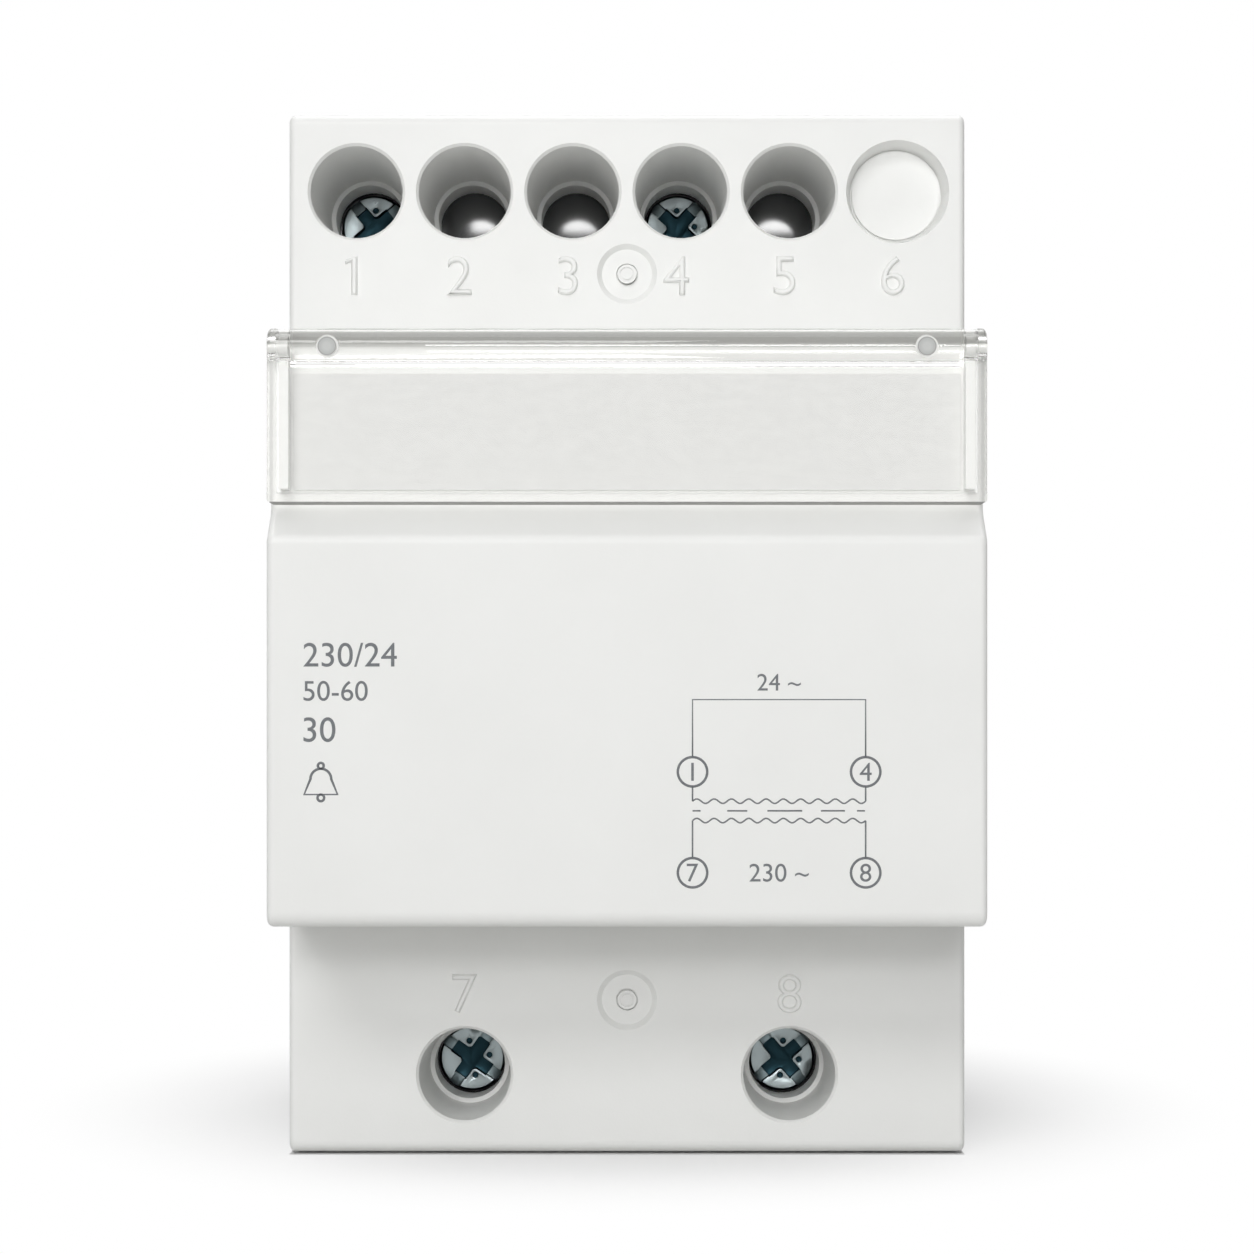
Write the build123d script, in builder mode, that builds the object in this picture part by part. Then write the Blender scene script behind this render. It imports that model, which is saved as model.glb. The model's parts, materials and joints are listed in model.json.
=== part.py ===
"""Transformer for a 35 mm mounting rail, three modules wide.

A white moulded cover snaps onto a base that hooks over the rail. Rising-cage screw terminals lie under the
driver bores, an EI transformer fills the nose, and a clear hinged window covers the label.

Frame: x to the right, z up, y towards the wall, with the origin in the middle of the rail seat.
A "front" distance is measured from the rail plane towards the user, so front = -y. Millimetres.
"""

import os
from collections import namedtuple
from math import copysign, cos, radians, sin

from build123d import *

# Housing
module_width = 18.0
modules = 3
housing_height = 83.0
nose_height = 45.0
shelf_front = 44.0
nose_front = 60.0
seam_front = 6.0
foot_depth = 5.5
wall = 2.0
side_edge_radius = 0.5
end_edge_radius = 0.9
nose_edge_radius = 1.1
fit_gap = 0.2
moving_gap = 0.3

# Rail seat and clip, for a rail 35 mm wide with 1 mm lips
rail_width = 35.0
rail_lip = 1.0
rail_play = 0.3
hook_reach = 2.3
hook_thickness = 2.3
hook_slope = 1.7
seat_width = 30.0
seat_relief = 0.6
clip_width = 16.0
clip_flange = 1.5
clip_flange_thickness = 1.5
clip_flange_length = 14.0
clip_travel = 4.0
clip_tail_inset = 0.6
clip_slot_width = 6.0
clip_slot_height = 1.6
clip_slot_inset = 2.0
clip_arm_width = 2.2
clip_arm_slit = 0.8

# Driver bores
terminal_pitch = 8.65
upper_positions = 6
bore_inset = 6.23
bore_rim_radius = 3.9
bore_mouth_radius = 3.69
bore_rim_depth = 0.25
bore_foot_radius = 3.26
ledge_radius = 2.9
ledge_thickness = 4.0
upper_ledge_depth = 13.9
lower_ledge_depth = 8.6
sleeve_wall = 0.9
blind_rim_radius = 4.13
blind_depth = 2.0
blind_groove_width = 0.15
blind_groove_depth = 0.3

# Rising-cage terminals
head_clearance = 0.2
head_radius = 2.75
head_height = 2.0
head_bevel = 0.2
head_gap = 0.25
shank_radius = 1.75
shank_length = 9.5
tip_gap = 0.05
tip_chamfer = 0.4
thread_gap = 0.05
screw_pitch = 0.6
screw_turns = 7.5
drive_slot_width = 0.95
drive_slot_depth = 0.7
drive_cross_width = 1.15
drive_cross_length = 3.6
drive_cross_depth = 1.1
drive_corner = 0.3
punch_radius = 0.25
punch_depth = 0.3
punch_distance = 1.45
tongue_width = 3.8
tongue_thickness = 1.0
tongue_tail = 4.0
tongue_hole_radius = 0.7
tongue_gap = 0.05
cage_width = 6.0
cage_length = 6.6
cage_wall = 0.8
cage_thread_plate = 2.0
cage_jaw = 1.2
cage_corner = 0.7
cage_rest_gap = 0.5
wire_gap = 5.0
wire_entry_width = 5.0
wire_entry_bevel = 0.6
block_wall = 1.2

# Gate dimples on the shelves
dimple_radius = 2.4
dimple_floor_radius = 2.0
dimple_depth = 0.4
dimple_pip_radius = 0.75
pip_groove_width = 0.12
pip_groove_depth = 0.3
pip_ring_radius = 0.45
pip_ring_width = 0.1
pip_ring_depth = 0.12
upper_dimple_inset = 12.8
lower_dimple_inset = 12.2

# Label recess and clear window
recess_depth = 3.0
recess_height = 13.5
shoulder_height = 2.35
shoulder_radius = 0.9
window_plate = 1.1
window_lip = 0.8
window_cheek = 0.65
window_barrel_radius = 1.5
window_gap = 0.3
window_corner = 0.35
window_pad_radius = 0.72
window_pad_spacing = 44.9
pad_groove_width = 0.14
pad_groove_depth = 0.45
ear_thickness = 0.7
ear_radius = 0.9
ear_stem = 1.0
ear_gap = 0.2
ridge_height = 1.6
hinge_pin_radius = 0.6
hinge_pin_gap = 0.05
label_thickness = 0.2

# Transformer
core_clearance = 1.0
core_height = 40.0
core_stack = 26.0
core_back = 15.0
core_bolt_radius = 1.75
side_leg = 8.0
centre_leg = 16.0
bobbin_gap = 0.25
bobbin_wall = 1.0
bobbin_bulge = 8.5
winding_gap = 0.1
winding_margin = 1.0
winding_corner = 2.5
tape_thickness = 0.35
tape_margin = 0.4
cutout_width = 9.0
cutout_height = 5.0
cutout_thickness = 2.4
cutout_edge = 0.6
lead_radius = 0.65
lead_bend = 2.0
lead_front = 10.5
lead_landing = 2.5
lead_inset = 2.2

# Snap hooks, locating tabs and core posts
snap_width = 6.0
snap_spacing = 26.0
snap_length = 5.5
snap_arm = 1.2
snap_barb = 1.4
snap_barb_height = 2.2
tab_width = 10.0
tab_spacing = 23.0
tab_height = 1.5
tab_thickness = 1.2
post_width = 4.0
post_height = 7.0
post_gap = 0.1

# Places that follow from the sizes
half_width = module_width * modules / 2
inner_half = half_width - wall
top = housing_height / 2
inner_top = top - wall
nose_top = nose_height / 2
recess_front = nose_front - recess_depth
recess_bottom = nose_top - recess_height
shoulder_foot = recess_bottom - shoulder_height
hinge_front = nose_front - window_barrel_radius
hinge_z = nose_top - window_barrel_radius
cheek_inner = half_width - window_cheek
ear_outer = cheek_inner - ear_gap
ear_inner = ear_outer - ear_thickness
window_bottom = recess_bottom + window_gap
ridge_bottom = window_bottom + window_lip + window_gap
channel_half = rail_width / 2 + rail_play
hook_tip = channel_half - hook_reach
hook_front = -(rail_lip + rail_play)
hook_back = hook_front - hook_thickness
seat_half = seat_width / 2
base_floor = seat_relief + wall
foot_floor = wall - foot_depth
bore_z = top - bore_inset
sleeve_radius = bore_mouth_radius + sleeve_wall
chamber_half = cage_width / 2 + moving_gap
chamber_inner_z = bore_z - cage_length / 2 - moving_gap
block_inner_z = chamber_inner_z - block_wall
block_outer_z = inner_top - fit_gap
tongue_end_z = block_inner_z - tongue_tail
tongue_hole_z = block_inner_z - tongue_tail / 2
cage_travel = screw_pitch * screw_turns
core_width = 2 * (inner_half - core_clearance)
core_front = core_back + core_stack
core_mid = core_back + core_stack / 2
core_window = (core_width - centre_leg) / 2 - side_leg
window_top = core_height / 2 - side_leg
leg_x = (core_width - side_leg) / 2
snap_levels = (-snap_spacing / 2, snap_spacing / 2)

# A row of terminals: the height of its bores, the front of their ledges and the end that wires enter
TerminalRow = namedtuple("TerminalRow", "axis_z ledge_front end")
upper_row = TerminalRow(bore_z, shelf_front - upper_ledge_depth, 1)
lower_row = TerminalRow(-bore_z, shelf_front - lower_ledge_depth, -1)

upper_x = [(place - (upper_positions - 1) / 2) * terminal_pitch for place in range(upper_positions)]
open_x = upper_x[:-1]
blind_x = upper_x[-1]
lower_x = [upper_x[1], upper_x[-2]]
bored_rows = ((upper_row, open_x), (lower_row, lower_x))

flange_half = centre_leg / 2 + core_window - bobbin_gap

# A terminal: its place, its row and how its screw is turned
Terminal = namedtuple("Terminal", "x row turn")
terminals = {
    1: Terminal(upper_x[0], upper_row, 40),
    4: Terminal(upper_x[3], upper_row, 48),
    7: Terminal(lower_x[0], lower_row, 55),
    8: Terminal(lower_x[1], lower_row, 40),
}


def ledge_back(row):
    return row.ledge_front - ledge_thickness


def head_top(row):
    return ledge_back(row) - head_clearance


def head_seat(row):
    return head_top(row) - head_height - moving_gap


def screw_tip(row):
    return head_top(row) - head_height - shank_length


def tongue_back(row):
    return screw_tip(row) - tip_gap - tongue_thickness


def cage_front(row):
    return screw_tip(row) - tip_gap + cage_rest_gap + cage_thread_plate


def cage_back(row):
    return tongue_back(row) - wire_gap - cage_jaw


def block_back(row):
    return cage_back(row) + cage_jaw - fit_gap


def facing(front):
    """Plane at a front distance that faces the user, with x to the right and z up."""
    return Plane.XZ.offset(front)


def side_points(*points):
    """Points of a side view sketch on Plane.YZ, from (front, z) pairs."""
    return [(-front, z) for front, z in points]


def corner(outline, front, z):
    """The vertex of a side view sketch that lies nearest to a place."""
    return outline.vertices().sort_by_distance((-front, z))[0]


def turned(*points):
    """Solid turned about the y axis from (radius, front) points."""
    with BuildPart() as solid:
        with BuildSketch(Plane.XY):
            Polygon(*[(radius, -front) for radius, front in points])
        revolve(axis=Axis.Y)
    return solid.part


def bar_along_x(x_low, x_high, *points):
    """Bar between two x places with a side view section."""
    with BuildPart() as bar:
        with BuildSketch(Plane.YZ.offset(x_low)):
            Polygon(*side_points(*points))
        extrude(amount=x_high - x_low)
    return bar.part


def rib_pair(z_mid, width, *points):
    """Two ribs on the side walls, mirrored left and right, with a section of (x, front) points."""
    with BuildPart() as ribs:
        with BuildSketch(Plane.XY.offset(z_mid - width / 2)):
            Polygon(*[(x, -front) for x, front in points])
        extrude(amount=width)
        mirror(about=Plane.YZ)
    return ribs.part


def driver_bore(row):
    """The space of one driver bore: a bevelled rim, a tapered wall and a ledge above the screw."""
    overshoot = shelf_front + bore_rim_depth
    return turned(
        (0, overshoot),
        (bore_rim_radius, overshoot),
        (bore_rim_radius, shelf_front),
        (bore_mouth_radius, shelf_front - bore_rim_depth),
        (bore_foot_radius, row.ledge_front),
        (ledge_radius, row.ledge_front),
        (ledge_radius, ledge_back(row)),
        (0, ledge_back(row)),
    )


def blind_recess():
    """The bevelled recess at the position that has no bore, with a fine groove around its floor."""
    overshoot = shelf_front + bore_rim_depth
    floor = shelf_front - blind_depth
    return turned(
        (0, overshoot),
        (blind_rim_radius, overshoot),
        (blind_rim_radius, shelf_front),
        (bore_mouth_radius, floor - blind_groove_depth),
        (bore_mouth_radius - blind_groove_width, floor - blind_groove_depth),
        (bore_mouth_radius - blind_groove_width, floor),
        (0, floor),
    )


def gate_dimple():
    """Ring-shaped recess that leaves the moulding gate's pip in its middle, outlined by fine grooves."""
    overshoot = shelf_front + dimple_depth
    floor = shelf_front - dimple_depth
    groove_radius = dimple_pip_radius + pip_groove_width
    recess = turned(
        (dimple_pip_radius, overshoot),
        (dimple_radius, overshoot),
        (dimple_radius, shelf_front),
        (dimple_floor_radius, floor),
        (groove_radius, floor),
        (groove_radius, floor - pip_groove_depth),
        (dimple_pip_radius, floor - pip_groove_depth),
    )
    ring = turned(
        (pip_ring_radius, overshoot),
        (pip_ring_radius + pip_ring_width, overshoot),
        (pip_ring_radius + pip_ring_width, shelf_front - pip_ring_depth),
        (pip_ring_radius, shelf_front - pip_ring_depth),
    )
    return recess, ring


def wire_funnel(terminal):
    """The way through the end wall into the open cage, with a funnel at its mouth."""
    end = terminal.row.end
    middle = (terminal.x, wire_gap / 2 - tongue_back(terminal.row))
    neck = (wire_entry_width, wire_gap)
    mouth = (wire_entry_width + 2 * wire_entry_bevel, wire_gap + 2 * wire_entry_bevel)
    with BuildPart() as funnel:
        with BuildSketch(Plane.XY.offset(end * (inner_top - wall))):
            with Locations(middle):
                Rectangle(*neck)
        extrude(amount=end * 2 * wall)
        with BuildSketch(Plane.XY.offset(end * (top - wire_entry_bevel))):
            with Locations(middle):
                Rectangle(*neck)
        with BuildSketch(Plane.XY.offset(end * top)):
            with Locations(middle):
                Rectangle(*mouth)
        loft()
    return funnel.part


def snap_section():
    """Section of a snap hook on the right-hand wall, as (x, front) points."""
    outer = inner_half - fit_gap
    inner = outer - snap_arm
    tip = seam_front + snap_length
    catch = tip - snap_barb_height
    root = base_floor - wall / 2
    return [
        (inner, root),
        (outer, root),
        (outer, catch),
        (outer + snap_barb, catch),
        (outer, tip),
        (inner, tip),
    ]


def tab_section():
    """Section of a locating tab that guides the cover onto the base, as (x, front) points."""
    outer = inner_half - fit_gap
    inner = outer - tab_thickness
    root = seam_front - tab_height
    buried = inner_half + wall / 4
    return [
        (inner, root),
        (buried, root),
        (buried, seam_front),
        (outer, seam_front),
        (outer, seam_front + tab_height),
        (inner, seam_front + tab_height),
    ]


def core_posts(end, back, front):
    """Two posts on the side legs of the core, level with the upper or lower end of its window."""
    inner = leg_x - post_width / 2
    outer = leg_x + post_width / 2
    section = [(inner, back), (outer, back), (outer, front), (inner, front)]
    return rib_pair(end * window_top, post_height, *section)


bore_spaces = {row: driver_bore(row) for row, places in bored_rows}
blind_space = blind_recess()
dimple_spaces = gate_dimple()
wire_ways = [wire_funnel(terminal) for terminal in terminals.values()]
cover_posts = [
    core_posts(1, core_front + post_gap, recess_front - wall / 2),
    core_posts(-1, core_front + post_gap, nose_front - wall / 2),
]

# Front cover, one white moulding with shelves, nose, bores and label recess
with BuildPart() as front_cover:
    with BuildSketch(Plane.YZ) as cover_outline:
        Polygon(
            *side_points(
                (seam_front, -top),
                (shelf_front, -top),
                (shelf_front, -nose_top),
                (nose_front, -nose_top),
                (nose_front, shoulder_foot),
                (recess_front, recess_bottom),
                (recess_front, nose_top),
                (shelf_front, nose_top),
                (shelf_front, top),
                (seam_front, top),
            )
        )
        fillet([corner(cover_outline, shelf_front, z) for z in (top, -top)], end_edge_radius)
        fillet(corner(cover_outline, nose_front, -nose_top), nose_edge_radius)
        fillet(corner(cover_outline, nose_front, shoulder_foot), shoulder_radius)
        fillet(corner(cover_outline, recess_front, recess_bottom), shoulder_radius)
    extrude(amount=half_width, both=True)
    side_edges = front_cover.faces().filter_by(Plane.YZ).edges()
    seam_edges = side_edges.filter_by(Axis.Z).group_by(Axis.Y)[-1]
    fillet(side_edges - seam_edges, side_edge_radius)

    # The hollow follows the outside at one wall's distance and is open to the base
    with BuildSketch(Plane.YZ):
        Polygon(
            *side_points(
                (seam_front - wall, -inner_top),
                (shelf_front - wall, -inner_top),
                (shelf_front - wall, wall - nose_top),
                (nose_front - wall, wall - nose_top),
                (nose_front - wall, shoulder_foot - wall / 2),
                (recess_front - wall, recess_bottom - wall / 2),
                (recess_front - wall, nose_top - wall),
                (shelf_front - wall, nose_top - wall),
                (shelf_front - wall, inner_top),
                (seam_front - wall, inner_top),
            )
        )
    extrude(amount=inner_half, both=True, mode=Mode.SUBTRACT)

    # Sleeves carry the driver bores down to the terminals
    for row, places in bored_rows:
        with BuildSketch(facing(ledge_back(row))):
            with Locations(*[(x, row.axis_z) for x in places]):
                Circle(sleeve_radius)
        extrude(amount=shelf_front - wall / 2 - ledge_back(row))
    with BuildSketch(facing(shelf_front - blind_depth - wall / 2)):
        with Locations((blind_x, bore_z)):
            Circle(blind_rim_radius + sleeve_wall)
    extrude(amount=blind_depth)
    for posts in cover_posts:
        add(posts)

    for row, places in bored_rows:
        with Locations(*[(x, 0, row.axis_z) for x in places]):
            add(bore_spaces[row], mode=Mode.SUBTRACT)
    with Locations((blind_x, 0, bore_z)):
        add(blind_space, mode=Mode.SUBTRACT)
    with Locations((0, 0, top - upper_dimple_inset), (0, 0, lower_dimple_inset - top)):
        add(dimple_spaces, mode=Mode.SUBTRACT)
    for way in wire_ways:
        add(way, mode=Mode.SUBTRACT)

    # Windows for the snap hooks of the base
    catch_middle = seam_front + snap_length - snap_barb_height / 2
    with Locations(*[(x, -catch_middle, z) for x in (-half_width, half_width) for z in snap_levels]):
        Box(4 * wall, snap_barb_height + 2 * fit_gap, snap_width + 2 * fit_gap, mode=Mode.SUBTRACT)

    # A groove lets the window's barrel turn, and ears beside it carry the hinge pins
    with BuildSketch(Plane.YZ):
        with Locations((-hinge_front, hinge_z)):
            Circle(window_barrel_radius + window_gap)
    extrude(amount=half_width, both=True, mode=Mode.SUBTRACT)
    for side in (-1, 1):
        with BuildSketch(Plane.YZ.offset(side * ear_inner)):
            Polygon(
                *side_points(
                    (recess_front - wall / 4, ridge_bottom),
                    (recess_front + ridge_height, ridge_bottom),
                    (recess_front + ridge_height, hinge_z - ear_radius),
                    (hinge_front, hinge_z - ear_stem / 2),
                    (hinge_front, hinge_z + ear_stem / 2),
                    (recess_front - wall / 4, hinge_z + ear_stem / 2),
                )
            )
            with Locations((-hinge_front, hinge_z)):
                Circle(ear_radius)
        extrude(amount=side * ear_thickness)
        with BuildSketch(Plane.YZ.offset(side * ear_outer)):
            with Locations((-hinge_front, hinge_z)):
                Circle(hinge_pin_radius)
        extrude(amount=side * (ear_gap + window_cheek - hinge_pin_gap))

# Rear base with the rail seat, the fixed hook at the top and the channel of the sliding clip
clip_half = clip_width / 2
channel_front = hook_front + fit_gap / 2
flange_half_width = clip_half + clip_flange
flange_front = channel_front - moving_gap
flange_back = flange_front - clip_flange_thickness
groove_half = flange_half_width + moving_gap
groove_run = clip_travel + moving_gap
clip_tail = clip_tail_inset - top
flange_bottom = clip_tail + clip_slot_inset + clip_slot_height + clip_slot_inset / 2
pocket_inner = groove_half + wall
pocket_x = (pocket_inner + inner_half) / 2
pocket_z = (inner_top + channel_half + wall) / 2
snap_pairs = [rib_pair(z, snap_width, *snap_section()) for z in snap_levels]
tab_pairs = [rib_pair(z, tab_width, *tab_section()) for z in (-tab_spacing, 0, tab_spacing)]
base_posts = [core_posts(end, base_floor - wall / 2, core_back - post_gap) for end in (-1, 1)]
block_rests = [
    bar_along_x(
        -inner_half,
        inner_half,
        (floor, row.end * block_inner_z),
        (floor, row.end * chamber_inner_z),
        (block_back(row) - post_gap, row.end * chamber_inner_z),
        (block_back(row) - post_gap, row.end * block_inner_z),
    )
    for row, floor in ((upper_row, foot_floor - wall / 2), (lower_row, base_floor - wall / 2))
]

with BuildPart() as rear_base:
    with BuildSketch(Plane.YZ):
        Polygon(
            *side_points(
                (seam_front, top),
                (-foot_depth, top),
                (-foot_depth, channel_half + hook_slope),
                (hook_back, hook_tip),
                (hook_front, hook_tip),
                (hook_front, channel_half),
                (seat_relief, channel_half),
                (seat_relief, seat_half),
                (0, seat_half),
                (0, -seat_half),
                (seat_relief, -seat_half),
                (seat_relief, -channel_half),
                (-foot_depth, -channel_half),
                (-foot_depth, -top),
                (seam_front, -top),
            )
        )
    extrude(amount=half_width, both=True)
    end_corners = rear_base.edges().filter_by(Axis.Y).group_by(Axis.Z)
    fillet(end_corners[0] + end_corners[-1], side_edge_radius)

    # Hollow of the base, deeper in the upper foot and beside the clip channel
    with BuildSketch(Plane.YZ):
        Polygon(
            *side_points(
                (seam_front + wall, inner_top),
                (foot_floor, inner_top),
                (foot_floor, channel_half + wall),
                (base_floor, channel_half + wall),
                (base_floor, -inner_top),
                (seam_front + wall, -inner_top),
            )
        )
    extrude(amount=inner_half, both=True, mode=Mode.SUBTRACT)
    with BuildSketch(facing(foot_floor)):
        with Locations((-pocket_x, -pocket_z), (pocket_x, -pocket_z)):
            Rectangle(inner_half - pocket_inner, inner_top - channel_half - wall)
    extrude(amount=base_floor - foot_floor, mode=Mode.SUBTRACT)

    # Clip channel with side grooves, which end in stops above the lower face
    with BuildSketch(facing(channel_front)):
        with Locations((0, -(top + channel_half) / 2)):
            Rectangle(2 * (clip_half + moving_gap), top - channel_half)
    extrude(amount=-foot_depth, mode=Mode.SUBTRACT)
    with BuildSketch(facing(channel_front)):
        with Locations((0, (flange_bottom - groove_run - channel_half) / 2)):
            Rectangle(2 * groove_half, groove_run - flange_bottom - channel_half)
    extrude(amount=-(clip_flange_thickness + 2 * moving_gap), mode=Mode.SUBTRACT)

    for ribs in snap_pairs + tab_pairs + base_posts + block_rests:
        add(ribs)

# Rail clip, a plastic slider with a hook, two spring arms and a slot for a driver's blade
clip_back = moving_gap - foot_depth
clip_nose = -hook_tip
clip_shoulder = -(channel_half + moving_gap)
with BuildPart() as rail_clip:
    with BuildSketch(Plane.YZ):
        Polygon(
            *side_points(
                (flange_front, clip_tail),
                (clip_back, clip_tail),
                (clip_back, clip_shoulder - hook_slope),
                (hook_back, clip_nose),
                (hook_front, clip_nose),
                (hook_front, clip_shoulder),
                (flange_front, clip_shoulder),
            )
        )
    extrude(amount=clip_half, both=True)
    with BuildSketch(facing(flange_back)):
        with Locations((0, flange_bottom + clip_flange_length / 2)):
            Rectangle(2 * flange_half_width, clip_flange_length)
    extrude(amount=clip_flange_thickness)
    with BuildSketch(facing(clip_back)):
        with Locations((0, clip_tail + clip_slot_inset + clip_slot_height / 2)):
            Rectangle(clip_slot_width, clip_slot_height)
        for side in (-1, 1):
            with Locations((side * (clip_half - clip_arm_width), flange_bottom + clip_flange_length / 2)):
                Rectangle(clip_arm_slit, clip_flange_length)
    extrude(amount=foot_depth, mode=Mode.SUBTRACT)

# Clear window that turns about the pins on the cover's ears and opens to a right angle
barrel_half = ear_inner - ear_gap
plate_back = nose_front - window_plate
skin_back = hinge_front + ear_stem / 2 + ear_gap
swing_reach = 2 * window_barrel_radius
lip_back = recess_front + window_gap
with BuildPart() as label_window:
    with BuildSketch(Plane.YZ):
        Polygon(
            *side_points(
                (plate_back, window_bottom),
                (nose_front, window_bottom),
                (nose_front, hinge_z),
                (plate_back, hinge_z),
            )
        )
        with Locations((-hinge_front, hinge_z)):
            Circle(window_barrel_radius)
    extrude(amount=half_width, both=True)
    with BuildSketch(facing(lip_back)):
        with Locations((0, window_bottom + window_lip / 2)):
            Rectangle(2 * half_width, window_lip)
    extrude(amount=nose_front - lip_back)
    for side in (-1, 1):
        with BuildSketch(Plane.YZ.offset(side * cheek_inner)):
            Polygon(
                *side_points(
                    (lip_back, window_bottom),
                    (nose_front, window_bottom),
                    (nose_front, hinge_z),
                    (lip_back, hinge_z),
                )
            )
        extrude(amount=side * window_cheek)
    ends = label_window.faces().filter_by(Plane.YZ).group_by(SortBy.AREA)[-1]
    fillet(ends.edges(), window_corner)

    # Room for the ears as the window turns, with a thin skin left in front of them
    for side in (-1, 1):
        with BuildSketch(Plane.YZ.offset(side * barrel_half)):
            Polygon(
                *side_points(
                    (plate_back, hinge_z - swing_reach),
                    (plate_back, hinge_z),
                    (skin_back, hinge_z),
                    (skin_back, hinge_z + swing_reach),
                    (hinge_front - swing_reach, hinge_z + swing_reach),
                    (hinge_front - swing_reach, hinge_z - swing_reach),
                )
            )
            with Locations((-hinge_front, hinge_z)):
                Circle(ear_radius + ear_gap)
        extrude(amount=side * (cheek_inner - barrel_half), mode=Mode.SUBTRACT)
        with BuildSketch(Plane.YZ.offset(side * cheek_inner)):
            with Locations((-hinge_front, hinge_z)):
                Circle(hinge_pin_radius + hinge_pin_gap)
        extrude(amount=side * window_cheek, mode=Mode.SUBTRACT)

    # Two round pads on the barrel, each in a shallow ring groove
    pad_places = [(side * window_pad_spacing / 2, hinge_z) for side in (-1, 1)]
    with BuildSketch(facing(hinge_front)):
        with Locations(*pad_places):
            Circle(window_pad_radius)
    extrude(amount=window_barrel_radius)
    with BuildSketch(facing(nose_front - pad_groove_depth)):
        with Locations(*pad_places):
            Circle(window_pad_radius + pad_groove_width)
            Circle(window_pad_radius, mode=Mode.SUBTRACT)
    extrude(amount=pad_groove_depth, mode=Mode.SUBTRACT)

# Blank paper strip behind the window
strip_top = hinge_z - window_barrel_radius - window_gap
strip_half = ear_inner - fit_gap
with BuildPart() as label_strip:
    with BuildSketch(facing(recess_front)):
        with Locations((0, (ridge_bottom + strip_top) / 2)):
            RectangleRounded(2 * strip_half, strip_top - ridge_bottom, fit_gap)
    extrude(amount=label_thickness)


def build_terminal_block(row, places, x_low, x_high):
    """Dark carrier under the sleeves: a chamber at each place, and a head socket over each live one."""
    block_front = ledge_back(row) - post_gap
    chamber_front = cage_front(row) + cage_travel + moving_gap
    live = [terminal for terminal in terminals.values() if terminal.row == row]
    tongue_middle = tongue_back(row) + tongue_thickness / 2
    with BuildPart() as block:
        with BuildSketch(facing(block_back(row))):
            with Locations(((x_low + x_high) / 2, row.end * (block_inner_z + block_outer_z) / 2)):
                Rectangle(x_high - x_low, block_outer_z - block_inner_z)
        extrude(amount=block_front - block_back(row))
        with BuildSketch(facing(block_back(row))):
            with Locations(*[(x, row.end * (chamber_inner_z + block_outer_z) / 2) for x in places]):
                Rectangle(2 * chamber_half, block_outer_z - chamber_inner_z)
        extrude(amount=chamber_front - block_back(row), mode=Mode.SUBTRACT)
        with BuildSketch(facing(head_seat(row))):
            with Locations(*[(terminal.x, row.axis_z) for terminal in live]):
                Circle(head_radius + head_gap)
        extrude(amount=block_front - head_seat(row), mode=Mode.SUBTRACT)
        with BuildSketch(facing(chamber_front)):
            with Locations(*[(terminal.x, row.axis_z) for terminal in live]):
                Circle(shank_radius + head_gap)
        extrude(amount=head_seat(row) - chamber_front, mode=Mode.SUBTRACT)
        with BuildSketch(Plane.XY.offset(row.end * block_inner_z)):
            with Locations(*[(terminal.x, -tongue_middle) for terminal in live]):
                Rectangle(tongue_width + 2 * tongue_gap, tongue_thickness + 2 * tongue_gap)
        extrude(amount=row.end * block_wall, mode=Mode.SUBTRACT)
    return block


def build_screw(terminal):
    """Cage screw with crossed slots and a deeper cross recess with rounded corners."""
    row = terminal.row
    crown = head_top(row)
    seat = crown - head_height
    tip = screw_tip(row)
    outline = [
        (0, crown),
        (head_radius - head_bevel, crown),
        (head_radius, crown - head_bevel),
        (head_radius, seat),
        (shank_radius, seat),
        (shank_radius, tip + tip_chamfer),
        (shank_radius - tip_chamfer, tip),
        (0, tip),
    ]
    across = (cos(radians(terminal.turn)), 0, sin(radians(terminal.turn)))
    drive = Plane(origin=(terminal.x, -crown, row.axis_z), x_dir=across, z_dir=(0, -1, 0))
    with BuildPart() as screw:
        with BuildSketch(Plane(origin=(terminal.x, 0, row.axis_z))):
            Polygon(*[(radius, -front) for radius, front in outline])
        revolve(axis=Axis((terminal.x, 0, row.axis_z), (0, 1, 0)))
        with BuildSketch(drive):
            Rectangle(2 * head_radius, drive_slot_width)
            Rectangle(drive_slot_width, 2 * head_radius)
        extrude(amount=-drive_slot_depth, mode=Mode.SUBTRACT)
        with BuildSketch(drive) as cross:
            Rectangle(drive_cross_length, drive_cross_width)
            Rectangle(drive_cross_width, drive_cross_length)
            fillet(cross.vertices().sort_by_distance((0, 0))[:4], drive_corner)
        extrude(amount=-drive_cross_depth, mode=Mode.SUBTRACT)
        with BuildSketch(drive):
            with PolarLocations(punch_distance, 3, start_angle=-135, angular_range=180, endpoint=True):
                Circle(punch_radius)
        extrude(amount=-punch_depth, mode=Mode.SUBTRACT)
    return screw


def build_cage(terminal):
    """Rising cage: a closed loop with the screw's thread in front and the clamping jaw behind."""
    row = terminal.row
    front = cage_front(row)
    back = cage_back(row)
    opening_front = front - cage_thread_plate
    opening_back = back + cage_jaw
    with BuildPart() as cage:
        with BuildSketch(Plane(origin=(terminal.x, 0, row.axis_z - cage_length / 2))):
            with Locations((0, -(front + back) / 2)):
                RectangleRounded(cage_width, front - back, cage_corner)
            with Locations((0, -(opening_front + opening_back) / 2)):
                Rectangle(
                    cage_width - 2 * cage_wall, opening_front - opening_back, mode=Mode.SUBTRACT
                )
        extrude(amount=cage_length)
        with BuildSketch(facing(front)):
            with Locations((terminal.x, row.axis_z)):
                Circle(shank_radius + thread_gap)
        extrude(amount=-cage_thread_plate, mode=Mode.SUBTRACT)
    return cage


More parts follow.
